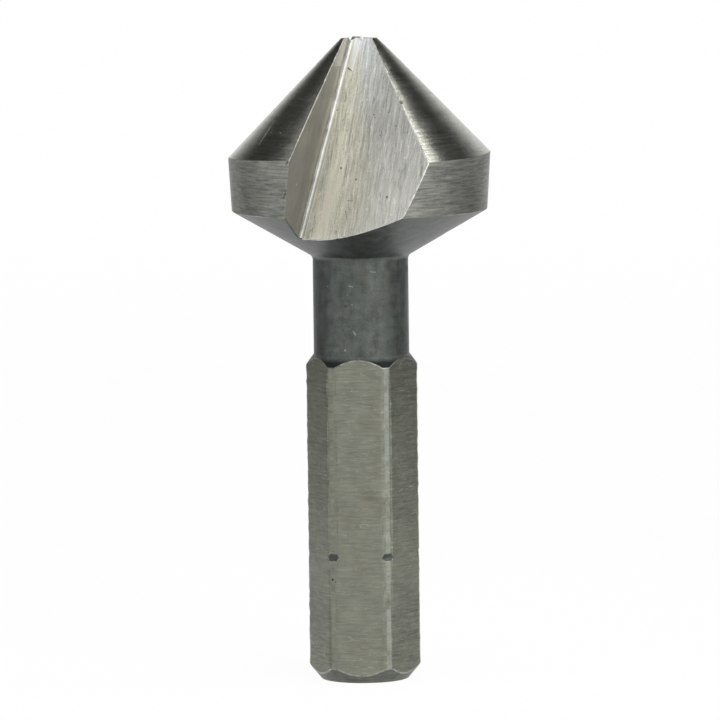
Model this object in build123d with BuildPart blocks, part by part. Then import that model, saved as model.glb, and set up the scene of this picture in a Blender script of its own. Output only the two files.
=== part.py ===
"""Countersink bit: a three-flute, nominally 90 degree countersink, ground from one bar of steel.

The origin is the centre of the shank's end face and +Z runs up the tool's axis to the cutting
point, so the bit stands on its shank. Two of the hexagon's flats face -Y and +Y. Millimetres.
"""

import os
from math import cos, radians, sin, tan

from build123d import *

# Quarter-inch hex shank, with its corners turned down and both ends chamfered
hex_across_flats = 6.35
hex_corner_diameter = 7.06
shank_length = 20.75
shank_end_diameter = 5.5
shank_end_angle = 40.0
shoulder_angle = 36.0

# Shallow retaining groove, which only bites into the six corners
notch_height = 8.05
notch_depth = 0.06
notch_profile_radius = 0.5

# Turned neck between the shank and the head
neck_diameter = 6.05
neck_length = 6.2
neck_fillet_radius = 0.4

# Head: back cone, land and cutting cone. Its angles are from the axis, but the point angle is the
# whole cone's, as measured on the worn tool
head_diameter = 16.6
back_cone_angle = 60.0
land_length = 3.6
land_taper_angle = 3.2
point_angle = 87.6
tip_diameter = 2.62

# Flutes: straight vee grooves, each cut along a root line that leans away from the axis
flute_count = 3
flute_heading = -126.0
flute_lean = 23.2
flute_root_offset = 0.42
flute_root_rise = 0.3
flute_root_radius = 0.25
rake_face_angle = 19.5
flute_floor_angle = 94.6

# Relief: behind its edge each tooth follows a cone that stands off the tool's axis
relief_offset = 0.28
cutting_edge_lead = 8.0
relief_run_on = 20.0

# Reach of the cutting tools past the head
tool_reach = 20.0

hex_corner_radius = hex_corner_diameter / 2
shank_end_radius = shank_end_diameter / 2
neck_radius = neck_diameter / 2
head_radius = head_diameter / 2
tip_radius = tip_diameter / 2
land_bottom_radius = head_radius - land_length * tan(radians(land_taper_angle))

shank_end_chamfer = (hex_corner_radius - shank_end_radius) / tan(radians(shank_end_angle))
shoulder_bottom = shank_length - (hex_corner_radius - neck_radius) / tan(radians(shoulder_angle))
neck_top = shank_length + neck_length
land_bottom = neck_top + (land_bottom_radius - neck_radius) / tan(radians(back_cone_angle))
land_top = land_bottom + land_length
cone_slope = tan(radians(point_angle / 2))
tip_height = land_top + (head_radius - tip_radius) / cone_slope
cone_apex = land_top + head_radius / cone_slope


# One flute's cutter, heading along +X: a vee with a rounded root, square to the root line
lean = radians(flute_lean)
rake_face_direction = 90.0 + rake_face_angle
floor_direction = 90.0 + flute_floor_angle
flute_frame = Plane(
    origin=(0, -flute_root_offset, tip_height + flute_root_rise),
    x_dir=(0, -1, 0),
    z_dir=(-sin(lean), 0, cos(lean)),
)

with BuildPart() as flute_cutter:
    with BuildSketch(flute_frame) as flute_section:
        with BuildLine():
            rake_face = PolarLine((0, 0), tool_reach, rake_face_direction)
            floor = PolarLine((0, 0), tool_reach, floor_direction)
            Line(rake_face @ 1, floor @ 1)
        make_face()
        fillet(flute_section.vertices().sort_by_distance((0, 0))[0], flute_root_radius)
    extrude(amount=tool_reach, both=True)


# One tooth's relief cutter, with the cutting edge on +X: all that lies outside the offset cone
sector_angle = 360.0 / flute_count
sector_start = radians(relief_run_on - sector_angle)
relief_axis = Axis((0, relief_offset, 0), (0, 0, 1))
relief_frame = Plane(
    origin=relief_axis.position,
    x_dir=(cos(sector_start), sin(sector_start), 0),
    z_dir=(sin(sector_start), -cos(sector_start), 0),
)

with BuildPart() as relief_cutter:
    with BuildSketch(relief_frame):
        with BuildLine():
            Polyline(
                (0, cone_apex),
                (tool_reach, cone_apex - tool_reach / cone_slope),
                (tool_reach, cone_apex),
                close=True,
            )
        make_face()
    revolve(axis=relief_axis, revolution_arc=sector_angle)


# The bit itself
with BuildPart() as countersink_bit:
    # Hexagon bar, cut to length
    with BuildSketch():
        RegularPolygon(hex_across_flats / 2, side_count=6, major_radius=False)
    extrude(amount=shank_length)

    # Turned corners, end chamfer and shoulder
    with BuildSketch(Plane.XZ):
        with BuildLine():
            Polyline(
                (0, 0),
                (shank_end_radius, 0),
                (hex_corner_radius, shank_end_chamfer),
                (hex_corner_radius, shoulder_bottom),
                (neck_radius, shank_length),
                (0, shank_length),
                close=True,
            )
        make_face()
    revolve(axis=Axis.Z, mode=Mode.INTERSECT)

    # Retaining groove across the corners
    groove_radius = hex_corner_radius - notch_depth + notch_profile_radius
    with BuildSketch(Plane.XZ):
        with Locations((groove_radius, notch_height)):
            Circle(notch_profile_radius)
    revolve(axis=Axis.Z, mode=Mode.SUBTRACT)

    # Neck and head, as turned before the flutes are ground
    with BuildSketch(Plane.XZ) as turned_profile:
        with BuildLine():
            Polyline(
                (0, shank_length),
                (neck_radius, shank_length),
                (neck_radius, neck_top),
                (land_bottom_radius, land_bottom),
                (head_radius, land_top),
                (tip_radius, tip_height),
                (0, tip_height),
                close=True,
            )
        make_face()
        neck_corner = turned_profile.vertices().sort_by_distance((neck_radius, neck_top))[0]
        fillet(neck_corner, neck_fillet_radius)
    revolve(axis=Axis.Z)

    # Relief behind each cutting edge, then the flutes
    with PolarLocations(0, flute_count, start_angle=flute_heading + cutting_edge_lead):
        add(relief_cutter.part, mode=Mode.SUBTRACT)
    with PolarLocations(0, flute_count, start_angle=flute_heading):
        add(flute_cutter.part, mode=Mode.SUBTRACT)

countersink_bit.part.label = "countersink_bit"

os.makedirs("parts", exist_ok=True)
export_step(countersink_bit.part, "parts/countersink_bit.step")
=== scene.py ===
"""Dresses a packed countersink bit: ground, worn and oxidised steel in a small light studio."""

from math import acos, atan2, cos, pi, radians, sin, sqrt, tan

import bmesh
import bpy
from bpy.props import FloatProperty, FloatVectorProperty, IntProperty, PointerProperty
from mathutils import Matrix, Vector, noise


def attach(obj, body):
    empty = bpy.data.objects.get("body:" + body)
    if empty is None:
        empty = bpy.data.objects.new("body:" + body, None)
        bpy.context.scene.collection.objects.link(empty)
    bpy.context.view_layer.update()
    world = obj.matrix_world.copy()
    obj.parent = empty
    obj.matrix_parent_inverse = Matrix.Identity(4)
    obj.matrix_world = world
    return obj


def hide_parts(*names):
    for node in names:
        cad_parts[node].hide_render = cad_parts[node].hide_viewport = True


bl_info = {
    "name": "Countersink Bit",
    "version": (1, 0, 0),
    "blender": (4, 5, 0),
    "location": "View3D > Sidebar > Countersink",
    "description": "Builds a worn three-flute countersink bit and the studio it stands in",
    "category": "Object",
}

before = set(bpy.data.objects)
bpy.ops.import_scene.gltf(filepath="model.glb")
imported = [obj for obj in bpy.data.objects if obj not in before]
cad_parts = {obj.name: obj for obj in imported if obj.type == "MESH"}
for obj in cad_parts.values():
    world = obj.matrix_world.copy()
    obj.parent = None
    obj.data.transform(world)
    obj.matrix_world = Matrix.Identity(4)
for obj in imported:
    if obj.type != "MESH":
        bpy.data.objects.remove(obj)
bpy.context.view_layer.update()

MM = 0.001
NODE = "countersink_bit"
BODY = "root"
PIECE = "countersink_bit_ground"
GRIND = "grind"

# Flute floors: slant of the wheel's lines and depth of their relief, and the strip beside the tip
# that was ground again: height of its end, width and slope. Lengths are in millimetres
FLOOR_LINES_TILT = 0.12
FLOOR_RELIEF = 0.012
SECOND_PASS_END = 38.75
SECOND_PASS_WIDTH = 0.78
SECOND_PASS_SLOPE = 0.25


# Sizes and colours


def length(name, millimetres, description):
    """A length that the sidebar shows, given here in millimetres."""
    return FloatProperty(
        name=name,
        description=description,
        default=millimetres * MM,
        unit="LENGTH",
        precision=5,
    )


def angle(name, in_degrees, description):
    """An angle that the sidebar shows, given here in degrees."""
    return FloatProperty(
        name=name, description=description, default=radians(in_degrees), unit="ROTATION"
    )


def colour(name, rgb, description):
    """A colour that the sidebar shows."""
    return FloatVectorProperty(
        name=name, description=description, default=rgb, subtype="COLOR", min=0, max=1
    )


class CountersinkShank(bpy.types.PropertyGroup):
    """Hexagon, neck and the groove in the corners"""

    across_flats: length("Across flats", 6.35, "Width of the hexagon")
    across_corners: length("Across corners", 7.06, "Diameter that the corners are turned to")
    shank_length: length("Shank length", 20.75, "End face to neck")
    end_diameter: length("End face", 5.5, "Diameter of the flat end")
    end_angle: angle("End chamfer", 40, "Angle of the end chamfer from the axis")
    shoulder_angle: angle("Shoulder", 36, "Angle of the shoulder from the axis")
    notch_height: length("Notch height", 8.05, "End face to the notches")
    notch_depth: length("Notch depth", 0.06, "How far the notches bite into the corners")
    notch_radius: length("Notch radius", 0.5, "Radius of the notches, seen from the side")
    neck_diameter: length("Neck", 6.05, "Diameter of the neck")
    neck_length: length("Neck length", 6.2, "Shank to back cone")
    neck_fillet: length("Neck fillet", 0.4, "Radius under the head")


class CountersinkHead(bpy.types.PropertyGroup):
    """Back cone, land and relieved cutting cone"""

    diameter: length("Head", 16.6, "Largest diameter")
    back_angle: angle("Back cone", 60, "Angle of the back cone from the axis")
    land_length: length("Land", 3.6, "Height of the land")
    land_taper: angle("Land taper", 3.2, "Angle of the land from the axis")
    half_angle: angle("Half point angle", 43.8, "Angle of the cutting cone from the axis")
    tip_diameter: length("Tip", 2.62, "Diameter of the flat tip")
    relief: length("Relief", 0.28, "How far each tooth's cone stands off the axis")
    edge_lead: angle("Edge lead", 8, "Cutting edge ahead of the flute's heading")
    relief_run_on: angle("Relief run-on", 20, "How far the relief runs past the edge")


class CountersinkFlutes(bpy.types.PropertyGroup):
    """Vee grooves that make the teeth"""

    count: IntProperty(name="Flutes", description="Number of flutes", default=3, min=2, max=5)
    heading: angle("Heading", -126, "Direction of the first flute about the axis")
    lean: angle("Lean", 23.2, "Angle between root line and axis")
    root_offset: length("Root offset", 0.42, "Root line beside the axis")
    root_rise: length("Root rise", 0.3, "Root line above the tip, where it passes the axis")
    root_radius: length("Root radius", 0.25, "Radius in the root")
    rake_angle: angle("Rake face", 19.5, "Direction of the rake face in the flute's section")
    floor_angle: angle("Flute floor", 94.6, "Direction of the floor in the flute's section")


class CountersinkWear(bpy.types.PropertyGroup):
    """Worn edges and small damage"""

    edge_width: length("Edge width", 0.06, "Width of the worn edges")
    corner_waves: length("Corner waves", 0.046, "Unevenness of the hexagon's corners")


class CountersinkColours(bpy.types.PropertyGroup):
    """Colours of the steel"""

    flute_steel: colour("Flute steel", (0.62, 0.64, 0.635), "Freshly ground flute floors")
    # Flute shade is painted shade: the floors turn to it away from the root, with a patchy edge
    flute_shade: colour("Flute shade", (0.396, 0.398, 0.368), "Painted shade of the flute floors away from the root")
    cone_steel: colour("Cone steel", (0.37, 0.373, 0.328), "Ground cutting cone")
    land_steel: colour("Land steel", (0.256, 0.264, 0.235), "Ground land")
    rake_steel: colour("Rake steel", (0.326, 0.304, 0.238), "Rake faces, slightly straw coloured")
    edge_steel: colour("Edge steel", (0.66, 0.66, 0.61), "Bare metal on worn edges")
    hex_steel: colour("Hexagon steel", (0.212, 0.219, 0.178), "Drawn hexagon bar")
    hex_stain: colour("Hexagon stain", (0.185, 0.18, 0.125), "Olive stains on the hexagon")
    oxide: colour("Oxide", (0.098, 0.108, 0.1), "Dark skin of the neck and back cone")
    rust: colour("Rust", (0.1, 0.07, 0.055), "Trace of rust on the neck")
    # The rubbed corner colour is a painted highlight: the lighter, cooler colour of the right front
    # corner strip
    hex_corner_highlight: colour("Corner highlight", (0.225, 0.24, 0.225), "Painted highlight along the right front corner")
    # Second pass: a real strip ground again, whose pale colour is partly painted sheen
    second_pass_and_sheen: colour("Second pass", (0.86, 0.89, 0.93), "Strip ground again beside the tip, painted lighter as sheen")
    pore: colour("Pore", (0.15, 0.115, 0.08), "Brown of the pores in the flutes")
    grime: colour("Grime", (0.03, 0.032, 0.03), "Dirt in pits and pores")


class CountersinkStudio(bpy.types.PropertyGroup):
    """Camera, floor and light"""

    azimuth: angle("Camera azimuth", 4.186, "Camera's direction about the bit")
    elevation: angle("Camera elevation", 5.619, "Camera's height above the horizon")
    distance: length("Camera distance", 493.697, "Camera to the middle of the bit")
    aim_height: length("Aim height", 20.29, "Height that the camera looks at")
    lens: FloatProperty(
        name="Lens", description="Focal length in millimetres", default=389.462
    )
    roll: angle("Camera roll", 0.699, "Turn of the camera about its own axis")
    side_step: length("Side step", 0.103, "Camera to the left of the line to the axis")
    floor_size: length("Floor", 8000, "Side of the square floor")


class CountersinkSettings(bpy.types.PropertyGroup):
    """Everything the operators read"""

    shank: PointerProperty(type=CountersinkShank)
    head: PointerProperty(type=CountersinkHead)
    flutes: PointerProperty(type=CountersinkFlutes)
    wear: PointerProperty(type=CountersinkWear)
    colours: PointerProperty(type=CountersinkColours)
    studio: PointerProperty(type=CountersinkStudio)


# Shader maths


class Value:
    """A shader socket that can stand in a sum."""

    def __init__(self, tree, socket):
        self.tree = tree
        self.socket = socket

    def maths(self, operation, *others, clamp=False):
        """One Math node with this socket and other values."""
        settings = {"operation": operation, "use_clamp": clamp}
        return new_node(self.tree, "Math", settings, dict(enumerate((self, *others))))

    def reflected(self, operation, other):
        """The same with the other value first."""
        return new_node(self.tree, "Math", {"operation": operation}, {0: other, 1: self})

    def __add__(self, other):
        return self.maths("ADD", other)

    def __radd__(self, other):
        return self.reflected("ADD", other)

    def __sub__(self, other):
        return self.maths("SUBTRACT", other)

    def __rsub__(self, other):
        return self.reflected("SUBTRACT", other)

    def __mul__(self, other):
        return self.maths("MULTIPLY", other)

    def __rmul__(self, other):
        return self.reflected("MULTIPLY", other)

    def __abs__(self):
        return self.maths("ABSOLUTE")

    def most(self, other):
        return self.maths("MAXIMUM", other)

    def limited(self):
        """Held between 0 and 1."""
        return self.maths("ADD", 0.0, clamp=True)


def plug(tree, socket, item):
    """Links a Value to a socket, or sets a plain number or colour on it."""
    if isinstance(item, Value):
        tree.links.new(item.socket, socket)
    elif hasattr(item, "__len__") and len(item) == 3 and socket.type == "RGBA":
        socket.default_value = (*item, 1.0)
    else:
        socket.default_value = item


def new_node(tree, kind, settings, sockets, output=0):
    """Any node: its type, then its settings, then what its sockets hold, by name or number."""
    made = tree.nodes.new("ShaderNode" + kind)
    for key, item in settings.items():
        setattr(made, key, item)
    for key, item in sockets.items():
        plug(tree, made.inputs[key], item)
    return Value(tree, made.outputs[output])


class Finish:
    """One material, put together node by node."""

    def __init__(self, name, **constants):
        self.material = bpy.data.materials.new(name)
        self.material.use_nodes = True
        self.tree = self.material.node_tree
        self.shader = self.tree.nodes["Principled BSDF"]
        for socket, item in constants.items():
            plug(self.tree, self.shader.inputs[socket.replace("_", " ")], item)
        self.place = self.node("TexCoord", output="Object")
        self.x, self.y, self.z = self.parts(self.place)

    def node(self, kind, settings=None, output=0, **values):
        """A node of this material, with its sockets by name."""
        sockets = {key.replace("_", " "): item for key, item in values.items()}
        return new_node(self.tree, kind, settings or {}, sockets, output)

    def parts(self, vector):
        """The three numbers of a vector."""
        made = self.node("SeparateXYZ", Vector=vector)
        return [Value(self.tree, socket) for socket in made.socket.node.outputs]

    def point(self, x, y, z):
        """A vector of three numbers."""
        return self.node("CombineXYZ", X=x, Y=y, Z=z)

    def vector(self, operation, *items):
        """One Vector Math node."""
        answer = "Value" if operation in ("DISTANCE", "DOT_PRODUCT") else "Vector"
        settings = {"operation": operation}
        return new_node(self.tree, "VectorMath", settings, dict(enumerate(items)), answer)

    def noise(self, vector, scale=1.0, detail=2.0, roughness=0.5):
        """Smooth noise between 0 and 1."""
        shape = {"Vector": vector, "Scale": scale, "Detail": detail, "Roughness": roughness}
        return self.node("TexNoise", {"noise_dimensions": "3D", "normalize": True}, **shape)

    def band(self, value, low, high, start=0.0, end=1.0):
        """A smooth step from start to end while value goes from low to high."""
        run = {"Value": value, "From_Min": low, "From_Max": high, "To_Min": start, "To_Max": end}
        return self.node("MapRange", {"interpolation_type": "SMOOTHSTEP"}, **run)

    def fade(self, value, low, high):
        """A smooth step down from 1 to 0 while value goes from low to high."""
        return self.band(value, low, high, 1.0, 0.0)

    def rising(self, low, high, start=0.0, end=1.0):
        """A smooth step while the height goes from low to high, in millimetres."""
        return self.band(self.z, low * MM, high * MM, start, end)

    def blend(self, factor, first, second, mode="MIX"):
        """A colour between two colours."""
        settings = {"data_type": "RGBA", "blend_type": mode}
        return new_node(self.tree, "Mix", settings, {0: factor, 6: first, 7: second}, 2)

    def shade(self, tint, factor):
        """A colour made lighter or darker by a value."""
        grey = self.node("CombineColor", Red=factor, Green=factor, Blue=factor)
        return self.blend(1.0, tint, grey, "MULTIPLY")

    def squeezed(self, per_millimetre):
        """The place, scaled by so many noise cells to the millimetre in each direction."""
        scale = [count / MM for count in per_millimetre]
        return self.vector("MULTIPLY", self.place, scale)

    def rings(self, spacing, stretch):
        """Lines that run round the axis, about one spacing apart in millimetres, as noise about 0."""
        around = 1.0 / (spacing * stretch)
        return self.noise(self.squeezed((around, around, 1.0 / spacing)), 1.0, 2.0, 0.6) - 0.5

    def cloud(self, size, detail=3.0):
        """Patches about this size in millimetres, as noise about 0."""
        return self.noise(self.place, 1.0 / (size * MM), detail) - 0.5

    def threads(self, vector, width):
        """Thin lines along a stretched noise, as a mask."""
        return self.fade(abs(self.noise(vector, 1.0, 1.0) - 0.5), 0.0, width)

    def spots(self, places):
        """Small round marks with these centres and radii, as a mask."""
        mask = 0.0
        for x, y, z, radius in places:
            away = self.vector("DISTANCE", self.place, (x * MM, y * MM, z * MM))
            mask = self.fade(away, radius * 0.5 * MM, radius * MM).most(mask)
        return mask

    def scratches(self, lines):
        """Straight marks with these ends and half widths, as a mask."""
        mask = 0.0
        for start, end, width in lines:
            start, end = Vector(start) * MM, Vector(end) * MM
            run = end - start
            offset = self.vector("SUBTRACT", self.place, start)
            part = self.vector("DOT_PRODUCT", offset, run / run.length_squared).limited()
            nearest = self.vector("MULTIPLY_ADD", part, run, start)
            away = self.vector("DISTANCE", self.place, nearest)
            mask = self.fade(away, width * 0.4 * MM, width * MM).most(mask)
        return mask

    def dress(self, tint, roughness, height, depth):
        """Feeds the shader what varies over the surface, with the relief's depth in millimetres."""
        bump = self.node("Bump", Strength=1.0, Distance=depth * MM, Height=height)
        surface = {"Base Color": tint, "Roughness": roughness, "Normal": bump}
        for socket, item in surface.items():
            plug(self.tree, self.shader.inputs[socket], item)
        return self.material


# Finishes


# Small marks, as places in millimetres with radii or half widths
CONE_SPECKS = (
    (-4.563, -4.885, 35.08, 0.06),
    (-5.188, -4.172, 35.066, 0.05),
)
CONE_SCRATCHES = (
    ((-5.099, -3.245, 35.681), (-5.97, -4.346, 34.299), 0.022),
    ((-5.277, -3.425, 35.424), (-5.808, -3.975, 34.648), 0.018),
)
FLUTE_PORES = (
    (-0.904, -3.562, 32.741, 0.1),
    (0.113, -4.492, 32.1, 0.1),
    (2.153, -6.206, 31.12, 0.11),
    (-1.213, -1.614, 36.28, 0.07),
)
FLUTE_CRACKS = (
    ((-0.446, -4.809, 30.79), (-0.085, -5.019, 30.804), 0.05),
    ((-0.599, -4.937, 30.349), (-0.416, -5.404, 29.631), 0.05),
)
FLUTE_SCRATCHES = (
    ((0.767, -0.794, 40.314), (0.603, -1.399, 38.901), 0.035),
    ((1.32, -1.667, 39.227), (1.2, -1.85, 38.6), 0.03),
    ((0.627, -1.9, 37.924), (0.45, -2.3, 36.9), 0.03),
    ((-0.34, -1.02, 38.6), (-0.4, -1.08, 38.3), 0.05),
)
RAKE_SPECKS = (
    (-3.536, -5.666, 31.9, 0.09),
    (-3.1, -4.6, 33.2, 0.05),
)
NECK_SPECKS = (
    (-1.93, -2.325, 25.186, 0.05),
    (-0.346, -3.001, 24.068, 0.06),
    (-0.209, -3.013, 22.266, 0.07),
    (-0.831, -2.906, 21.183, 0.09),
    (-0.62, -2.95, 24.7, 0.05),
    (2.3, 1.95, 23.1, 0.07),
    (-1.4, 2.67, 24.9, 0.06),
)
NECK_SCRATCHES = (
    ((-0.55, -2.97, 25.25), (-0.3, -3.005, 25.206), 0.035),
    ((-0.3, -3.0, 22.42), (-0.15, -3.02, 22.15), 0.03),
    ((0.85, -2.9, 26.15), (1.15, -2.79, 26.1), 0.03),
)
NECK_PITS = (
    (-0.763, -2.927, 23.969, 0.1),
    (-0.944, -2.869, 22.478, 0.06),
    (2.6, -1.54, 24.3, 0.05),
)
HEX_PITS = (
    (-1.786, -3.044, 6.651, 0.1),
    (-1.982, -2.918, 6.457, 0.05),
    (-1.596, -3.148, 6.517, 0.05),
    (-2.534, -1.961, 13.697, 0.07),
    (-2.297, -2.371, 1.9, 0.06),
    (-2.297, -2.371, 1.76, 0.06),
    (2.9, 1.4, 5.2, 0.08),
    (0.8, 3.175, 12.4, 0.07),
)
HEX_SPECKS = (
    (2.792, -1.515, 3.805, 0.05),
    (2.05, -2.799, 3.595, 0.04),
)


def ground_cone(colours):
    """Cutting cone: fine circular grinding, specks and a few scratches."""
    steel = Finish("cutting_cone", Metallic=1.0)
    fine = steel.rings(0.1, 22.0)
    coarse = steel.rings(0.45, 20.0)
    grain = steel.cloud(0.12, 1.0)
    patches = steel.cloud(1.2, 4.0)
    nicks = steel.threads(steel.squeezed((1.6, 1.6, 9.0)), 0.006)
    nicks = nicks * steel.band(steel.cloud(1.1), 0.06, 0.12)
    marks = steel.scratches(CONE_SCRATCHES).most(steel.spots(CONE_SPECKS))
    specks = steel.band(grain, 0.27, 0.32) * steel.band(patches, 0.0, 0.08)
    lightness = 1.0 + 1.0 * fine + 0.3 * coarse + 0.8 * grain + 0.6 * patches
    lightness = lightness + 1.5 * nicks + 1.6 * specks + 2.5 * marks
    tint = steel.shade(colours.cone_steel, lightness)
    roughness = 0.215 + 0.06 * coarse + 0.1 * patches
    height = fine * 0.6 + coarse * 0.2 + grain * 0.4 + marks * 0.5
    return steel.dress(tint, roughness, height, 0.007)


def ground_land(colours):
    """Land: circular lines, a little dulled and uneven."""
    steel = Finish("land", Metallic=1.0)
    fine = steel.rings(0.1, 11.0)
    coarse = steel.rings(0.26, 8.0)
    grain = steel.cloud(0.13, 1.0)
    patches = steel.cloud(1.3)
    scratches = steel.threads(steel.squeezed((0.8, 0.8, 5.0)), 0.01)
    lightness = 1 + 1.6 * fine + 0.6 * coarse + 0.3 * grain + 0.6 * patches + 0.3 * scratches
    tint = steel.shade(colours.land_steel, lightness)
    roughness = 0.36 + 0.15 * coarse
    return steel.dress(tint, roughness, fine * 0.7 + coarse * 0.3, 0.01)


class FluteFinish(Finish):
    """A finish with lines nearly along the flute's root."""

    def __init__(self, name, tilt, **constants):
        super().__init__(name, **constants)
        grind = self.node("Attribute", {"attribute_name": GRIND}, output="Vector")
        self.from_root, self.along, self.aside = self.parts(grind)
        wander = 0.12 * MM * self.cloud(0.8, 2.0)
        self.across = self.from_root + tilt * self.along + wander
        self.grind = self.point(self.across, self.along, 0.0)

    def scaled(self, spacing, stretch):
        """The grinding coordinates, with lines about one spacing apart in millimetres."""
        spacing *= MM
        scale = (1.0 / spacing, 1.0 / (spacing * stretch), 1.0 / spacing)
        return self.vector("MULTIPLY", self.grind, scale)

    def lines(self, spacing, stretch):
        """Grinding lines, as noise about 0."""
        return self.noise(self.scaled(spacing, stretch), 1.0, 2.0, 0.6) - 0.5

    def streaks(self, spacing, stretch, width):
        """Single bright or dark lines of the wheel, as a mask."""
        return self.threads(self.scaled(spacing, stretch), width)

    def off_root(self, low, high, start=0.0, end=1.0):
        """A smooth step while the distance from the root goes from low to high, in millimetres."""
        return self.band(self.from_root, low * MM, high * MM, start, end)


def floor_pores(steel, grain):
    """Pores and cracks of the flute floor, as a mask."""
    pores = steel.band(steel.cloud(0.2, 1.0), 0.27, 0.32)
    dotted = steel.scratches(FLUTE_CRACKS) * steel.band(grain, -0.1, 0.1)
    return pores.most(steel.spots(FLUTE_PORES)).most(dotted)


def second_pass_and_sheen(steel):
    """The strip beside the tip that was ground again: its mask, its rim and the way in from it."""
    foot = steel.z - SECOND_PASS_END * MM + 0.5 * (steel.from_root - 0.5 * MM)
    in_pass = steel.band(foot, 0.0, 0.1 * MM)
    inwards = SECOND_PASS_WIDTH * MM - steel.from_root
    mask = steel.band(inwards, 0.0, 0.04 * MM) * in_pass
    rim = steel.fade(abs(inwards), 0.01 * MM, 0.05 * MM) * in_pass
    return mask, rim, inwards


def floor_painted_light(steel, ground_again):
    """Painted light and shade of the floor along the root line and towards the tip, standing in for
    what it would catch from the rake face.
    """
    # Painted highlight in a line close to the root, painted shade a little further out low down, a
    # painted light band beyond that and a painted glow towards the tip
    below = steel.rising(33.0, 35.5, 1.0, 0.0)
    painted_root_line = steel.off_root(0.36, 0.46, 1.0, 0.0)
    shaded = steel.off_root(0.75, 1.1, 1.0, 0.0) * below * (1 - painted_root_line)
    painted_light_band = steel.off_root(1.0, 1.25) * steel.off_root(1.7, 2.5, 1.0, 0.0) * below
    glow = steel.off_root(0.6, 2.2, 1.0, 0.0) * steel.rising(35.2, 37.0) * (1 - ground_again)
    return 0.1 * painted_root_line - 0.28 * shaded + 0.22 * painted_light_band + 0.12 * glow


def flute_floor(colours):
    """Flute floor: bright lines left by the wheel, a second pass beside the tip, and painted light
    and shade.
    """
    steel = FluteFinish("flute_floor", FLOOR_LINES_TILT, Metallic=1.0)
    fine = steel.lines(0.1, 14.0)
    medium = steel.lines(0.24, 11.0)
    coarse = steel.lines(0.7, 8.0)
    grain = steel.cloud(0.1, 1.0)
    patches = steel.cloud(1.4)
    bright = steel.streaks(0.4, 9.0, 0.014)
    dark = steel.streaks(0.55, 8.0, 0.012)
    scratches = steel.scratches(FLUTE_SCRATCHES)
    pores = floor_pores(steel, grain)
    ground_again, rim, inwards = second_pass_and_sheen(steel)
    lightness = 1.02 + 1.15 * fine + 1.15 * medium + 0.5 * coarse + 0.6 * grain + 0.4 * patches
    lightness = lightness + 0.4 * bright - 0.35 * dark + 0.55 * scratches
    # Painted light: the floor is lighter low down, and a little darker towards the tip
    lightness = lightness + steel.rising(30.0, 36.5, 0.5, 0.13) - steel.rising(35.0, 40.0, 0.0, 0.04)
    # The strip ground again is smoother and painted lighter, partly as sheen, with a painted
    # highlight along its rim
    smooth = 1.22 + 0.5 * medium
    lightness = lightness + (smooth - lightness) * ground_again + 0.3 * rim
    # Painted shade: the floor turns to the flute shade colour away from the root, with a patchy edge
    far = steel.band(steel.from_root + 3.0 * MM * patches, 0.6 * MM, 4.2 * MM)
    tint = steel.blend(far, colours.flute_steel, colours.flute_shade)
    tint = steel.shade(tint, lightness + floor_painted_light(steel, ground_again))
    # Painted sheen: the strip takes on some of the pale second pass colour
    tint = steel.blend(0.3 * ground_again, tint, colours.second_pass_and_sheen)
    tint = steel.blend(0.75 * pores, tint, colours.pore)
    roughness = 0.36 + 0.2 * coarse - 0.06 * ground_again
    relief = 0.4 * fine + 0.4 * medium + 0.3 * bright - 0.3 * dark - pores
    relief = relief + ground_again * inwards * (SECOND_PASS_SLOPE / (FLOOR_RELIEF * MM))
    return steel.dress(tint, roughness, relief, FLOOR_RELIEF)


def rake_face(colours):
    """Rake face: smoother, with a trace of straw colour, and painted shade that darkens it towards
    the shank.
    """
    steel = FluteFinish("rake_face", 0.0, Metallic=1.0)
    fine = steel.lines(0.12, 14.0)
    coarse = steel.lines(0.6, 10.0)
    grain = steel.cloud(0.12, 1.0)
    patches = steel.cloud(1.2)
    bright = steel.streaks(0.9, 18.0, 0.006)
    specks = steel.band(steel.cloud(0.16, 1.0), 0.31, 0.36)
    specks = specks.most(steel.spots(RAKE_SPECKS))
    # Painted shade: the rake face darkens towards the shank
    depth = steel.rising(30.5, 38.0, 0.53, 0.73)
    lightness = 1 + 0.6 * fine + 0.4 * coarse + 0.3 * grain + 0.35 * patches
    lightness = (lightness + 0.2 * bright + 1.1 * specks) * depth
    tint = steel.shade(colours.rake_steel, lightness)
    roughness = 0.34 + 0.15 * coarse
    return steel.dress(tint, roughness, fine * 0.5 + coarse * 0.5, 0.006)


def flute_root(colours):
    """Root radius: bright and drawn out along the flute, with painted shade towards the shank and on
    its rake side, and painted light on its floor side.
    """
    steel = FluteFinish("flute_root", 0.0, Metallic=1.0)
    fine = steel.lines(0.07, 20.0)
    cloud = steel.cloud(0.6)
    # Painted shade towards the shank; across the radius, painted shade on the rake side and painted
    # light on the floor side
    depth = steel.rising(29.0, 37.0, 0.7, 1.0)
    painted_light_across = steel.band(steel.aside, -0.04 * MM, 0.18 * MM, 0.32, 1.15)
    tint = steel.shade(colours.edge_steel, (painted_light_across + 0.7 * fine + 0.4 * cloud) * depth)
    return steel.dress(tint, 0.42 + 0.3 * fine, fine, 0.006)


def grainy(name, tint, size, lightness, roughness, depth, metallic=1.0):
    """A plain finish, with one grain behind its colour, gloss and height."""
    steel = Finish(name, Metallic=metallic)
    grain = steel.cloud(size)
    tint = steel.shade(tint, lightness[0] + lightness[1] * grain)
    return steel.dress(tint, roughness[0] + roughness[1] * grain, grain, depth)


def worn_edge(colours):
    """Bare metal along the edges of the head."""
    return grainy("worn_edge", colours.edge_steel, 0.22, (0.86, 1.2), (0.34, 0.3), 0.015)


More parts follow.
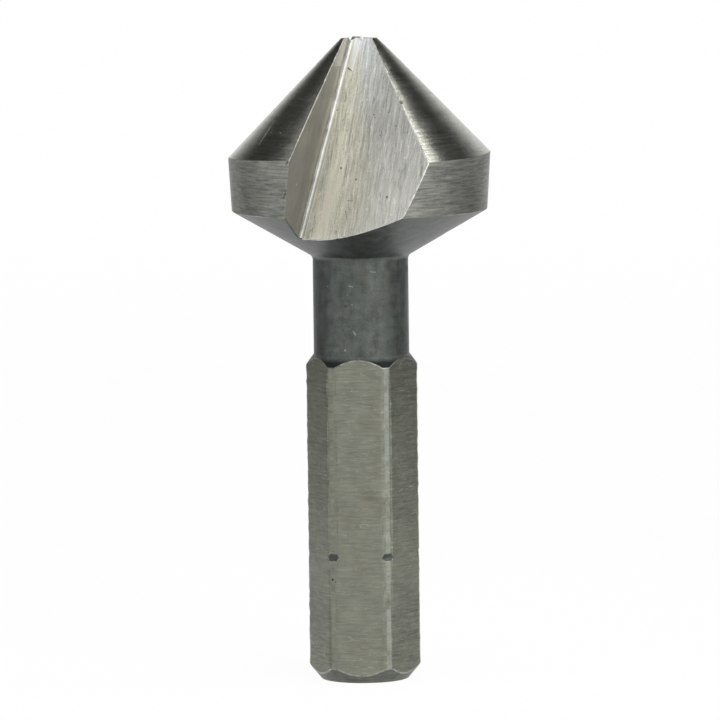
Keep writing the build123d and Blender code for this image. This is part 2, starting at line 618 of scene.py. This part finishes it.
def oxide_skin(colours):
    """Neck and back cone: a dull dark skin with smears, specks and a trace of rust."""
    steel = Finish("oxide_skin", Metallic=0.85)
    specks = steel.cloud(0.15, 1.0)
    grain = steel.cloud(0.07, 1.0)
    cloud = steel.cloud(0.7, 4.0)
    smears = steel.noise(steel.squeezed((2.2, 2.2, 0.45)), 1.0, 3.0) - 0.5
    lines = steel.rings(0.14, 8.0)
    bare = steel.band(specks, 0.27, 0.33) * steel.band(smears, 0.0, 0.1)
    bare = bare.most(steel.spots(NECK_SPECKS)).most(steel.scratches(NECK_SCRATCHES))
    dirt = steel.fade(specks, -0.3, -0.25).most(steel.spots(NECK_PITS))
    rusty = steel.band(steel.cloud(0.9, 3.0), 0.06, 0.24)
    lightness = 1 + 1.1 * cloud + 0.7 * smears + 0.3 * lines + 0.7 * grain
    lightness = lightness + 1.4 * bare - 0.5 * dirt
    tint = steel.blend(0.3 * rusty, colours.oxide, colours.rust)
    tint = steel.shade(tint, lightness)
    roughness = 0.4 + 0.2 * cloud - 0.1 * bare
    height = lines * 0.2 + cloud * 0.3 + specks * 0.5 + 0.5 * bare - dirt
    return steel.dress(tint, roughness, height, 0.014)


def shoulder_skin(colours):
    """Shoulder: like the neck, with painted shade that darkens it towards the hexagon's corners."""
    steel = Finish("shoulder_skin", Metallic=0.85)
    cloud = steel.cloud(0.4, 3.0)
    grain = steel.cloud(0.07, 1.0)
    radius = steel.vector("DISTANCE", steel.place, steel.point(0.0, 0.0, steel.z))
    # Painted shade: darker towards the hexagon's corners, lighter towards the neck
    shaded = steel.band(radius, 3.06 * MM, 3.32 * MM, 1.28, 0.2)
    tint = steel.shade(colours.oxide, (1 + 0.9 * cloud + 0.7 * grain) * shaded)
    return steel.dress(tint, 0.42 + 0.2 * cloud, cloud, 0.012)


def hex_flat(colours):
    """Flats: fine cross lines of the drawn bar, stains and pits. Four of them are rougher, with
    painted shade low down.
    """
    steel = Finish("hex_flat", Metallic=1.0)
    fine = steel.rings(0.1, 16.0)
    short = steel.rings(0.12, 4.0)
    coarse = steel.rings(0.4, 9.0)
    patches = steel.cloud(1.1, 4.0)
    stains = steel.band(steel.cloud(1.7, 3.0), 0.02, 0.16)
    pits = steel.spots(HEX_PITS)
    specks = steel.spots(HEX_SPECKS)
    scratches = steel.threads(steel.squeezed((0.5, 0.5, 3.2)), 0.008)
    rough = steel.band(abs(steel.x), 1.8 * MM, 1.9 * MM, 0.6, 1.0)
    ridges = (0.9 * fine + 0.5 * short + 0.25 * coarse) * rough
    lightness = 1 + ridges + 0.5 * patches + 0.6 * scratches * rough + 0.9 * specks
    lightness = lightness + 0.18 * (rough - 0.6)
    tint = steel.blend(0.3 * stains, colours.hex_steel, colours.hex_stain)
    # Painted shade: the four rougher flats darken towards the end face
    painted_low_shade = steel.rising(4.0, 7.0, 0.5, 0.0) * (rough - 0.6)
    tint = steel.shade(tint, lightness - painted_low_shade)
    tint = steel.blend(pits, tint, colours.grime)
    height = ridges + 0.3 * scratches - 2.0 * pits
    return steel.dress(tint, 0.38 + 0.12 * coarse, height, 0.011)


def hex_corner(colours):
    """Turned corners: ridged like the flats, with a patchy painted highlight along the right front
    corner.
    """
    steel = Finish("hex_corner", Metallic=1.0)
    fine = steel.rings(0.12, 6.0)
    coarse = steel.rings(0.5, 5.0)
    grain = steel.cloud(0.1, 1.0)
    pits = steel.spots(HEX_PITS)
    # Painted highlight along the right front corner strip, in patches
    corner_highlight = steel.band(steel.x - steel.y, 4.2 * MM, 4.9 * MM)
    corner_highlight = corner_highlight * steel.band(steel.cloud(1.5), -0.14, 0.0)
    lightness = 1.0 + 0.6 * fine + 0.6 * coarse + 0.4 * grain + 0.42 * corner_highlight
    tint = steel.blend(0.5 * corner_highlight, colours.hex_steel, colours.hex_corner_highlight)
    tint = steel.blend(pits, steel.shade(tint, lightness), colours.grime)
    roughness = 0.3 + 0.15 * coarse - 0.05 * corner_highlight
    return steel.dress(tint, roughness, fine * 0.5 + coarse * 0.5 - 2.0 * pits, 0.013)


def hex_rim(colours):
    """Edges of the hexagon's ends and notches: worn bright by handling."""
    steel = Finish("hex_rim", Metallic=1.0)
    grain = steel.cloud(0.25)
    near_end = steel.rising(1.0, 3.0, 1.0, 0.0)
    tint = steel.shade(colours.edge_steel, 0.34 + 0.7 * grain + 0.1 * near_end)
    return steel.dress(tint, 0.34 + 0.2 * grain, grain, 0.01)


def notch_floor(colours):
    """Notches: dark and dirty."""
    return grainy("notch", colours.oxide, 0.2, (0.68, 0.9), (0.5, 0.2), 0.01, 0.7)


def nick_floor(colours):
    """Inside of the small nicks."""
    return grainy("nick", colours.hex_stain, 0.1, (0.9, 1.5), (0.45, 0.2), 0.01)


def turned_face(colours):
    """End chamfer and end face: turned before the bar was hardened."""
    steel = Finish("turned_face", Metallic=0.9)
    lines = steel.rings(0.09, 12.0)
    cloud = steel.cloud(0.6)
    grain = steel.cloud(0.08, 1.0)
    tint = steel.blend(0.5, colours.hex_steel, colours.oxide)
    tint = steel.shade(tint, 0.78 + 0.9 * lines + 0.9 * cloud + 0.4 * grain)
    return steel.dress(tint, 0.4 + 0.3 * cloud, lines, 0.012)


FINISHES = {
    "end": turned_face,
    "chamfer": turned_face,
    "flat": hex_flat,
    "corner": hex_corner,
    "notch": notch_floor,
    "shoulder": shoulder_skin,
    "neck": oxide_skin,
    "back": oxide_skin,
    "land": ground_land,
    "cone": ground_cone,
    "tip": worn_edge,
    "floor": flute_floor,
    "rake": rake_face,
    "root": flute_root,
    "edge": worn_edge,
    "rim": hex_rim,
    "nick": nick_floor,
}
FACES = list(FINISHES)


def steel_finishes(colours):
    """One material for each kind of face, in the order of FACES."""
    made = {}
    for finish in FINISHES.values():
        if finish not in made:
            made[finish] = finish(colours)
    return [made[FINISHES[face]] for face in FACES]


# Shapes


# How finely the blank is divided: rings in each band, columns across each flat and so on
RINGS = {
    "chamfer": 4,
    "flat": 70,
    "shoulder": 4,
    "neck": 18,
    "fillet": 6,
    "back": 16,
    "land": 12,
    "cone": 30,
}
FLAT_COLUMNS = 24
ROOT_STEPS = 12
GROOVE_STEPS = 48
GROOVE_COLUMNS = 120
WHEEL_REACH = 20 * MM
LAND_EDGE_ROUNDS = 8


class Blank:
    """The bit before its flutes are ground, as radii and heights about the axis."""

    def __init__(self, shank, head, flutes):
        self.shank = shank
        self.head = head
        self.flat = shank.across_flats / 2
        self.corner = shank.across_corners / 2
        self.strip = pi / 6 - acos(self.flat / self.corner)
        self.end = shank.end_diameter / 2
        self.neck = shank.neck_diameter / 2
        self.neck_top = shank.shank_length + shank.neck_length
        self.outer = head.diameter / 2
        self.land_foot = self.outer - head.land_length * tan(head.land_taper)
        rise = (self.land_foot - self.neck) / tan(head.back_angle)
        self.land_bottom = self.neck_top + rise
        self.land_top = self.land_bottom + head.land_length
        self.slope = tan(head.half_angle)
        self.apex = self.land_top + self.outer / self.slope
        self.tip = self.land_top + (self.outer - head.tip_diameter / 2) / self.slope
        self.first_edge = flutes.heading + head.edge_lead
        self.tooth = 2 * pi / flutes.count

    def hexagon(self, bearing):
        """Radius of the bar at a bearing, with its corners turned down."""
        from_flat = (bearing % (pi / 3)) - pi / 6
        return min(self.corner, self.flat / cos(from_flat))

    def relieved(self, bearing, height):
        """Radius of the cutting cone, which falls away behind each edge."""
        relief, run_on = self.head.relief, self.head.relief_run_on
        full = (self.apex - height) * self.slope
        behind = (bearing - self.first_edge - run_on) % self.tooth
        behind += run_on - self.tooth
        stood_off = sqrt(max(0.0, full**2 - (relief * cos(behind)) ** 2))
        return min(full, relief * sin(behind) + stood_off)

    def land_radius(self, height):
        """Radius of the land, which tapers towards the shank."""
        return self.outer - (self.land_top - height) * tan(self.head.land_taper)

    def land_edge(self, bearing):
        """Radius and height where land and relieved cone meet."""
        height = self.land_top
        for _ in range(LAND_EDGE_ROUNDS):
            gap = self.relieved(bearing, height) - self.land_radius(height)
            height += gap / (self.slope + tan(self.head.land_taper))
        return self.land_radius(height), height

    def neck_arc(self, part):
        """Radius and height at a part of the way along the fillet under the head."""
        radius, turn = self.shank.neck_fillet, self.head.back_angle * part
        middle = self.neck_top - radius * tan(self.head.back_angle / 2)
        return self.neck + radius * (1 - cos(turn)), middle + radius * sin(turn)


def bearings_round(blank):
    """Bearings of the blank's columns, with one on each border of a corner strip."""
    bearings = []
    flat_width = pi / 3 - 2 * blank.strip
    for side in range(6):
        start = side * pi / 3
        bearings += [start, start + blank.strip / 2]
        for step in range(FLAT_COLUMNS + 1):
            bearings.append(start + blank.strip + flat_width * step / FLAT_COLUMNS)
        bearings.append(start + pi / 3 - blank.strip / 2)
    return bearings


def between(first, last, kind):
    """A band's rings, on straight lines from one ring to another, without the first."""
    rings = []
    for step in range(1, RINGS[kind] + 1):
        part = step / RINGS[kind]
        pairs = zip(first, last)
        rings.append([(r0 + (r1 - r0) * part, z0 + (z1 - z0) * part) for (r0, z0), (r1, z1) in pairs])
    return rings


def cone_rings(blank, bearings, land_edge):
    """Rings of the relieved cone, from the land's edge to the tip."""
    rings = []
    for step in range(1, RINGS["cone"] + 1):
        ring = []
        for bearing, (_, low) in zip(bearings, land_edge):
            height = low + (blank.tip - low) * step / RINGS["cone"]
            ring.append((blank.relieved(bearing, height), height))
        rings.append(ring)
    return rings


def blank_rings(blank, bearings):
    """Bands of rings from the end face to the tip, each with its kind of face."""
    even = len(bearings)
    end = [(blank.end, 0.0)] * even
    chamfer_top = []
    shoulder_foot = []
    for bearing in bearings:
        bar = blank.hexagon(bearing)
        chamfer_top.append((bar, (bar - blank.end) / tan(blank.shank.end_angle)))
        drop = (bar - blank.neck) / tan(blank.shank.shoulder_angle)
        shoulder_foot.append((bar, blank.shank.shank_length - drop))
    neck_foot = [(blank.neck, blank.shank.shank_length)] * even
    steps = RINGS["fillet"]
    fillet = [[blank.neck_arc(step / steps)] * even for step in range(steps + 1)]
    land_foot = [(blank.land_foot, blank.land_bottom)] * even
    land_edge = [blank.land_edge(bearing) for bearing in bearings]
    return [
        ("end", [end]),
        ("chamfer", between(end, chamfer_top, "chamfer")),
        ("flat", between(chamfer_top, shoulder_foot, "flat")),
        ("shoulder", between(shoulder_foot, neck_foot, "shoulder")),
        ("neck", between(neck_foot, fillet[0], "neck") + fillet[1:]),
        ("back", between(fillet[-1], land_foot, "back")),
        ("land", between(land_foot, land_edge, "land")),
        ("cone", cone_rings(blank, bearings, land_edge)),
    ]


def ring_vertices(mesh, bearings, ring):
    """The vertices of one ring."""
    places = zip(bearings, ring)
    return [mesh.verts.new((r * cos(bearing), r * sin(bearing), z)) for bearing, (r, z) in places]


def wall(mesh, first, second, kinds):
    """Faces between two closed rows of vertices, each of its own kind."""
    for column, kind in enumerate(kinds):
        beside = (column + 1) % len(kinds)
        corners = (first[column], first[beside], second[beside], second[column])
        mesh.faces.new(corners).material_index = FACES.index(kind)


def blank_mesh(blank):
    """The turned and milled blank, closed at both ends."""
    bearings = bearings_round(blank)
    # Limits a quarter of a strip away from the columns, so that rounding can't tip one over
    hexagon = []
    for bearing in bearings:
        from_corner = bearing % (pi / 3)
        near = from_corner < blank.strip * 0.75 or from_corner > pi / 3 - blank.strip * 1.25
        hexagon.append("corner" if near else "flat")
    mesh = bmesh.new()
    below = None
    for kind, rings in blank_rings(blank, bearings):
        kinds = hexagon if kind == "flat" else [kind] * len(bearings)
        for ring in rings:
            row = ring_vertices(mesh, bearings, ring)
            if below is None:
                mesh.faces.new(reversed(row)).material_index = FACES.index("end")
            else:
                wall(mesh, below, row, kinds)
            below = row
    mesh.faces.new(below).material_index = FACES.index("tip")
    return mesh


def heading(bearing):
    """Unit vector of a bearing in the plane."""
    return Vector((cos(bearing), sin(bearing)))


class Flute:
    """Directions of one flute: its root line and the two faces that meet in it."""

    def __init__(self, blank, flutes, number):
        turn = Matrix.Rotation(flutes.heading + number * blank.tooth, 3, "Z")
        lean = flutes.lean
        self.start = turn @ Vector((0, -flutes.root_offset, blank.tip + flutes.root_rise))
        self.side = turn @ Vector((0, -1, 0))
        self.up = turn @ Vector((cos(lean), 0, sin(lean)))
        self.along = turn @ Vector((-sin(lean), 0, cos(lean)))
        self.rake = pi / 2 + flutes.rake_angle
        self.floor = pi / 2 + flutes.floor_angle
        self.floorward = heading(self.floor) - heading(self.rake)
        self.radius = flutes.root_radius

    def section(self):
        """Outline of the vee in the flute's own section, from the rake face round to the floor."""
        half = (self.floor - self.rake) / 2
        centre = heading((self.floor + self.rake) / 2) * (self.radius / sin(half))
        outline = [heading(self.rake) * WHEEL_REACH]
        for step in range(ROOT_STEPS + 1):
            turn = (pi - 2 * half) * step / ROOT_STEPS
            outline.append(centre + heading(self.rake - pi / 2 - turn) * self.radius)
        outline.append(heading(self.floor) * WHEEL_REACH)
        return outline

    def at(self, flat, distance):
        """A point of the section, moved along the flute."""
        return self.start + self.side * flat.x + self.up * flat.y + self.along * distance


def flute_mesh(flute):
    """The wheel's path through the blank, as a long vee."""
    outline = flute.section()
    mesh = bmesh.new()
    low = [mesh.verts.new(flute.at(point, -WHEEL_REACH)) for point in outline]
    high = [mesh.verts.new(flute.at(point, WHEEL_REACH)) for point in outline]
    wall(mesh, low, high, ["rake"] + ["root"] * ROOT_STEPS + ["floor", "floor"])
    mesh.faces.new(low)
    mesh.faces.new(high)
    bmesh.ops.recalc_face_normals(mesh, faces=mesh.faces)
    return mesh


def groove_mesh(blank):
    """The ring that a round-nosed tool cuts across the corners."""
    shank = blank.shank
    centre = blank.corner - shank.notch_depth + shank.notch_radius
    section = []
    for step in range(GROOVE_STEPS):
        turn = 2 * pi * step / GROOVE_STEPS
        height = shank.notch_height + shank.notch_radius * sin(turn)
        section.append((centre + shank.notch_radius * cos(turn), height))
    mesh = bmesh.new()
    rings = []
    for column in range(GROOVE_COLUMNS):
        bearing = 2 * pi * column / GROOVE_COLUMNS
        rings.append(ring_vertices(mesh, [bearing] * GROOVE_STEPS, section))
    for column, ring in enumerate(rings):
        wall(mesh, ring, rings[(column + 1) % GROOVE_COLUMNS], ["notch"] * GROOVE_STEPS)
    bmesh.ops.recalc_face_normals(mesh, faces=mesh.faces)
    return mesh


# Nicks as centre and radius of a ball in millimetres, sunk a little into the surface
NICKS = (
    (2.975, -3.895, 36.965, 0.2),
    (3.23, -0.52, 26.17, 0.33),
    (-3.7, 7.35, 31.4, 0.2),
    (-1.83, 3.4, 10.6, 0.22),
)


def nick_mesh():
    """Balls that take the nicks out of the edges."""
    mesh = bmesh.new()
    for x, y, z, radius in NICKS:
        place = Matrix.Translation((x * MM, y * MM, z * MM))
        bmesh.ops.create_icosphere(mesh, subdivisions=3, radius=radius * MM, matrix=place)
    for face in mesh.faces:
        face.material_index = FACES.index("nick")
    return mesh


def link(name, data):
    """A scene object that holds this data."""
    made = bpy.data.objects.new(name, data)
    bpy.context.scene.collection.objects.link(made)
    return made


def solid(name, mesh, finishes):
    """A scene object from mesh code, with every finish in its slots."""
    data = bpy.data.meshes.new(name)
    mesh.to_mesh(data)
    mesh.free()
    for finish in finishes:
        data.materials.append(finish)
    return link(name, data)


def settle(piece):
    """Applies a piece's modifiers."""
    depsgraph = bpy.context.evaluated_depsgraph_get()
    done = bpy.data.meshes.new_from_object(piece.evaluated_get(depsgraph))
    piece.modifiers.clear()
    piece.data = done


def grind_away(piece, cutters):
    """Takes each cutter's shape out of the piece."""
    for number, cutter in enumerate(cutters):
        cut = piece.modifiers.new(f"cut_{number}", "BOOLEAN")
        cut.operation = "DIFFERENCE"
        cut.solver = "EXACT"
        cut.object = cutter
    settle(piece)
    for cutter in cutters:
        bpy.data.objects.remove(cutter)


# Edges sharper than this are broken; closer vertices and shorter edges than these go first
SHARP = radians(17)
SAME_PLACE = 0.004 * MM
NO_LENGTH = 0.002 * MM
# Width of an edge by the first of these kinds beside it, as a share of the worn edges' width
EDGE_SHARES = {
    "neck": 0.0,
    "notch": 0.35,
    "nick": 0.1,
    "rake": 0.8,
    "floor": 1.1,
    "shoulder": 0.9,
    "chamfer": 1.0,
    "corner": 1.6,
}
# Finish of an edge by the first of these kinds beside it
EDGE_FINISHES = {
    "notch": "rim",
    "nick": "nick",
    "floor": "edge",
    "land": "land",
    "back": "neck",
    "rake": "edge",
    "tip": "edge",
    "neck": "neck",
    "shoulder": "rim",
    "end": "chamfer",
    "chamfer": "rim",
    "flat": "flat",
    "corner": "corner",
}
WIDEST = max(EDGE_SHARES.values())


def first_of(table, kinds, otherwise):
    """What the table says of the first of its kinds that is among these."""
    return next((item for kind, item in table.items() if kind in kinds), otherwise)


def break_edges(piece, wear):
    """Rounds every sharp edge a little, as handling and deburring do."""
    mesh = bmesh.new()
    mesh.from_mesh(piece.data)
    bmesh.ops.remove_doubles(mesh, verts=mesh.verts, dist=SAME_PLACE)
    bmesh.ops.dissolve_degenerate(mesh, dist=NO_LENGTH, edges=mesh.edges)
    weights = mesh.edges.layers.float.new("bevel_weight_edge")
    for edge in mesh.edges:
        if edge.calc_face_angle() > SHARP:
            kinds = {FACES[face.material_index] for face in edge.link_faces}
            edge[weights] = first_of(EDGE_SHARES, kinds, 1.0) / WIDEST
    for face in mesh.faces:
        face.smooth = True
    mesh.to_mesh(piece.data)
    mesh.free()
    bevel = piece.modifiers.new("edges", "BEVEL")
    bevel.limit_method = "WEIGHT"
    bevel.width = wear.edge_width * WIDEST
    bevel.segments = 2
    bevel.material = FACES.index("edge")
    bevel.use_clamp_overlap = False
    settle(piece)


def round_normals(mesh):
    """Shades each face by its own surface, and each edge from one surface to the next."""
    edge = FACES.index("edge")
    sums = [{} for _ in mesh.vertices]
    for face in mesh.polygons:
        for corner in face.vertices:
            held = sums[corner].get(face.material_index, Vector())
            sums[corner][face.material_index] = held + face.normal * face.area
    normals = [Vector()] * len(mesh.loops)
    for face in mesh.polygons:
        for loop in face.loop_indices:
            kinds = sums[mesh.loops[loop].vertex_index]
            wanted = kinds[face.material_index]
            if face.material_index == edge:
                mains = [total.normalized() for kind, total in kinds.items() if kind != edge]
                wanted = sum(mains, Vector()) if mains else wanted
            normals[loop] = wanted.normalized()
    mesh.normals_split_custom_set(normals)


def mark_grinding(mesh, flutes):
    """Stores each corner's place in the nearest flute.

    That is its distance from the root line, how far along that line it is, and how much nearer
    it is to the floor than to the rake face.
    """
    grind = mesh.attributes.new(GRIND, "FLOAT_VECTOR", "CORNER")
    for face in mesh.polygons:
        flute = max(flutes, key=lambda one: face.center.dot(one.up))
        for loop in face.loop_indices:
            place = mesh.vertices[mesh.loops[loop].vertex_index].co - flute.start
            section = Vector((place.dot(flute.side), place.dot(flute.up)))
            aside = section.dot(flute.floorward)
            grind.data[loop].vector = (section.length, place.dot(flute.along), aside)


WAVE_LENGTH = 0.55 * MM
WAVES_FROM_ENDS = 1.2 * MM


def wave_corners(mesh, blank, amount):
    """Makes the hexagon's corners a little uneven along the bar."""
    low, high = WAVES_FROM_ENDS, blank.shank.shank_length - WAVES_FROM_ENDS
    for vertex in mesh.vertices:
        place = vertex.co
        bearing = atan2(place.y, place.x)
        from_corner = abs((bearing + pi / 6) % (pi / 3) - pi / 6)
        if low < place.z < high and from_corner <= blank.strip * 1.35:
            side = round(bearing / (pi / 3))
            cell = Vector((side * 7.3, 0, place.z / WAVE_LENGTH))
            wave = noise.noise(cell) + 0.5 * noise.noise(cell * 2.7)
            place.xy *= 1 + amount * (wave - 0.5) / blank.corner


def finish_edges(mesh):
    """Leaves bare metal on the teeth's edges, and gives the others their neighbours' finish."""
    edge = FACES.index("edge")
    mains = [set() for _ in mesh.vertices]
    for face in mesh.polygons:
        if face.material_index != edge:
            for corner in face.vertices:
                mains[corner].add(FACES[face.material_index])
    edges = [face for face in mesh.polygons if face.material_index == edge]
    both_sides = [set(kinds) for kinds in mains]
    for face in edges:
        kinds = set().union(*(mains[corner] for corner in face.vertices))
        for corner in face.vertices:
            if not mains[corner]:
                both_sides[corner] |= kinds
    for face in edges:
        kinds = set().union(*(both_sides[corner] for corner in face.vertices))
        face.material_index = FACES.index(first_of(EDGE_FINISHES, kinds, "edge"))


def build_bit(options):
    """The whole bit, ground from one blank."""
    finishes = steel_finishes(options.colours)
    blank = Blank(options.shank, options.head, options.flutes)
    flutes = [Flute(blank, options.flutes, k) for k in range(options.flutes.count)]
    bit = solid(PIECE, blank_mesh(blank), finishes)
    cutters = [solid("cutter", flute_mesh(flute), finishes) for flute in flutes]
    cutters.append(solid("cutter", groove_mesh(blank), finishes))
    cutters.append(solid("cutter", nick_mesh(), finishes))
    grind_away(bit, cutters)
    break_edges(bit, options.wear)
    wave_corners(bit.data, blank, options.wear.corner_waves)
    round_normals(bit.data)
    finish_edges(bit.data)
    mark_grinding(bit.data, flutes)
    return bit


# Stage


def towards(turn, rise):
    """Unit vector at an angle about the axis from -Y, and at an angle above the horizon."""
    return Vector((sin(turn) * cos(rise), -cos(turn) * cos(rise), sin(rise)))


SENSOR_WIDTH = 36
NEAR_LIMIT = 0.01
FAR_LIMIT = 50


def place_camera(studio):
    """A long lens, a little above the bit and turned a little to its right."""
    back = towards(studio.azimuth, studio.elevation)
    data = bpy.data.cameras.new("camera")
    data.sensor_width = SENSOR_WIDTH
    data.lens = studio.lens
    data.clip_start = NEAR_LIMIT
    data.clip_end = FAR_LIMIT
    camera = link("camera", data)
    level = (-back).to_track_quat("-Z", "Y").to_matrix()
    rolled = level @ Matrix.Rotation(-studio.roll, 3, "Z")
    aim = Vector((0, 0, studio.aim_height))
    camera.rotation_euler = rolled.to_euler()
    camera.location = aim + back * studio.distance - rolled.col[0] * studio.side_step
    bpy.context.scene.camera = camera


def seen_plainly(tree):
    """1 for rays from the camera, from gloss and through glass, else 0."""
    outputs = ("Is Camera Ray", "Is Glossy Ray", "Is Transmission Ray")
    camera, gloss, glass = (new_node(tree, "LightPath", {}, {}, output) for output in outputs)
    return camera.most(gloss).most(glass)


ROOM_LIGHT = 0.9


def white_room():
    """A white world, a little less bright as a light than as a background."""
    world = bpy.data.worlds.new("white_room")
    world.use_nodes = True
    tree = world.node_tree
    background = tree.nodes["Background"]
    plug(tree, background.inputs["Color"], (1, 1, 1))
    strength = ROOM_LIGHT + (1 - ROOM_LIGHT) * seen_plainly(tree)
    plug(tree, background.inputs["Strength"], strength)
    bpy.context.scene.world = world


def quad(name, centre, facing, size, material, roll=0.0, shift=0.0):
    """A flat rectangle of the stage that faces a point, turned and then moved in its plane."""
    mesh = bmesh.new()
    bmesh.ops.create_grid(mesh, x_segments=1, y_segments=1, size=0.5)
    card = solid(name, mesh, [material])
    turn = (facing - centre).normalized().to_track_quat("Z", "Y").to_matrix().to_4x4()
    turn = turn @ Matrix.Rotation(radians(roll), 4, "Z") @ Matrix.Translation((shift, 0, 0))
    card.matrix_world = Matrix.Translation(centre) @ turn @ Matrix.Diagonal((*size, 1, 1))
    return card


FLOOR_WHITENESS = 0.95


def floor_paper():
    """White floor that keeps a soft shadow."""
    paper = Finish("floor_paper", Base_Color=(0.97, 0.97, 0.97), Roughness=0.9)
    lit = Value(paper.tree, paper.shader.outputs[0])
    glow = paper.node("Emission", Color=(1.0, 1.0, 1.0), Strength=1.0)
    seen = seen_plainly(paper.tree) * FLOOR_WHITENESS
    mixed = new_node(paper.tree, "MixShader", {}, {0: seen, 1: lit, 2: glow})
    plug(paper.tree, paper.tree.nodes["Material Output"].inputs["Surface"], mixed)
    return paper.material


HEAD_CENTRE = Vector((0, 0, 0.03))
# Watts to the square metre of a lamp's face at level 1
LAMP_POWER = 4
# Lamps that face the head: name, azimuth, elevation, distance, size and level
LAMPS = (
    ("key", 38, 27, 0.5, 0.3, 3.3),
    ("top_light", 108, 62, 0.5, 0.16, 1.9),
)
# Cards that face the bit: name, height that they face, azimuth, elevation, distance, width,
# height and level. The grey ones stand on the floor, and only the neck reflects the lowest two
FLAGS = (
    ("pale_left", 0.03, -72, 31, 0.3, 0.24, 0.2, 0.84),
    ("grey_left", 0.0275, -120, 0, 0.065, 0.085, 0.055, 0.5),
    ("grey_right", 0.0275, 120, 0, 0.065, 0.085, 0.055, 0.68),
    ("neck_left", 0.018, -95, 0, 0.05, 0.06, 0.007, 0.08),
    ("neck_right", 0.018, 99, 0, 0.05, 0.06, 0.007, 0.08),
)
# Cards that the two sides of the cone reflect: name and side, then where the card starts, where
# it is dark from and to, and where it ends, in metres, and the levels at start and end
CONE_FLAGS = (
    ("black_left", -1, (-0.12, -0.058, 0.045, 0.2), (0.5, 0.78)),
    ("black_right", 1, (-0.083, -0.06, 0.015, 0.17), (0.1, 1.0)),
)
CONE_FLAG_AZIMUTH = radians(130)
CONE_FLAG_ELEVATION = radians(39)
CONE_FLAG_DISTANCE = 0.25
CONE_FLAG_WIDTH = 0.19
CONE_FLAG_DARK = 0.05


def softbox(name, azimuth, elevation, distance, size, level):
    """A large soft lamp whose face is as bright as its level."""
    data = bpy.data.lights.new(name, "AREA")
    data.shape = "SQUARE"
    data.size = size
    data.energy = level * LAMP_POWER * size * size
    lamp = link(name, data)
    direction = towards(radians(azimuth), radians(elevation))
    lamp.location = HEAD_CENTRE + direction * distance
    lamp.rotation_euler = direction.to_track_quat("Z", "Y").to_euler()


def flag(name, aim_height, azimuth, elevation, distance, width, height, level):
    """A plain card that shades what the bit reflects, out of the camera's sight."""
    aim = Vector((0, 0, aim_height))
    centre = aim + towards(radians(azimuth), radians(elevation)) * distance
    cloth = Finish(name + "_cloth", Base_Color=(level, level, level), Roughness=1.0)
    quad(name, centre, aim, (width, height), cloth.material).visible_camera = False


def cone_flag(name, side, places, levels):
    """A card along what one side of the cone reflects: dark, and paler towards both ends."""
    first, dark_from, dark_to, last = places
    span, middle = last - first, (first + last) / 2
    cloth = Finish(name + "_cloth", Roughness=1.0)
    place = cloth.x * span + middle
    upper = cloth.band(place, first, dark_from, levels[0], CONE_FLAG_DARK)
    lower = cloth.band(place, dark_to, last, CONE_FLAG_DARK, levels[1])
    tint = cloth.shade((1, 1, 1), upper.most(lower))
    plug(cloth.tree, cloth.shader.inputs["Base Color"], tint)
    direction = towards(side * CONE_FLAG_AZIMUTH, CONE_FLAG_ELEVATION)
    centre = HEAD_CENTRE + direction * CONE_FLAG_DISTANCE
    size = (span, CONE_FLAG_WIDTH)
    card = quad(name, centre, HEAD_CENTRE, size, cloth.material, -90.0 - 45.0 * side, middle)
    card.visible_camera = False


def set_stage(studio):
    """Floor, background, lamps and flags."""
    size = (studio.floor_size, studio.floor_size)
    quad("floor", Vector((0, 0, 0)), Vector((0, 0, 1)), size, floor_paper())
    white_room()
    for lamp in LAMPS:
        softbox(*lamp)
    for card in CONE_FLAGS:
        cone_flag(*card)
    for card in FLAGS:
        flag(*card)
    bpy.context.scene.view_settings.view_transform = "Standard"


# Operators and panel


class COUNTERSINK_OT_camera(bpy.types.Operator):
    """Place the camera"""

    bl_idname = "countersink.camera"
    bl_label = "Place Camera"

    def execute(self, context):
        place_camera(context.scene.countersink.studio)
        return {"FINISHED"}


class COUNTERSINK_OT_bit(bpy.types.Operator):
    """Grind the bit from its blank"""

    bl_idname = "countersink.bit"
    bl_label = "Grind Bit"

    def execute(self, context):
        bit = build_bit(context.scene.countersink)
        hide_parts(NODE)
        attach(bit, BODY)
        return {"FINISHED"}


class COUNTERSINK_OT_stage(bpy.types.Operator):
    """Set the floor, the lamps and the flags"""

    bl_idname = "countersink.stage"
    bl_label = "Set Stage"

    def execute(self, context):
        set_stage(context.scene.countersink.studio)
        return {"FINISHED"}


class COUNTERSINK_PT_panel(bpy.types.Panel):
    """Sizes, colours and the steps of making"""

    bl_label = "Countersink Bit"
    bl_idname = "COUNTERSINK_PT_panel"
    bl_space_type = "VIEW_3D"
    bl_region_type = "UI"
    bl_category = "Countersink"

    def draw(self, context):
        options = context.scene.countersink
        for operator in OPERATORS:
            self.layout.operator(operator.bl_idname)
        for group in ("shank", "head", "flutes", "wear", "colours", "studio"):
            box = self.layout.box()
            box.label(text=group.capitalize())
            values = getattr(options, group)
            for name in values.__annotations__:
                box.prop(values, name)


GROUPS = (
    CountersinkShank,
    CountersinkHead,
    CountersinkFlutes,
    CountersinkWear,
    CountersinkColours,
    CountersinkStudio,
    CountersinkSettings,
)
OPERATORS = (COUNTERSINK_OT_camera, COUNTERSINK_OT_bit, COUNTERSINK_OT_stage)


def register():
    for item in (*GROUPS, *OPERATORS, COUNTERSINK_PT_panel):
        bpy.utils.register_class(item)
    bpy.types.Scene.countersink = PointerProperty(type=CountersinkSettings)


def unregister():
    del bpy.types.Scene.countersink
    for item in reversed((*GROUPS, *OPERATORS, COUNTERSINK_PT_panel)):
        bpy.utils.unregister_class(item)


def main():
    """Builds everything in order."""
    register()
    bpy.ops.countersink.camera()
    bpy.ops.countersink.bit()
    bpy.ops.countersink.stage()


if __name__ == "__main__":
    main()
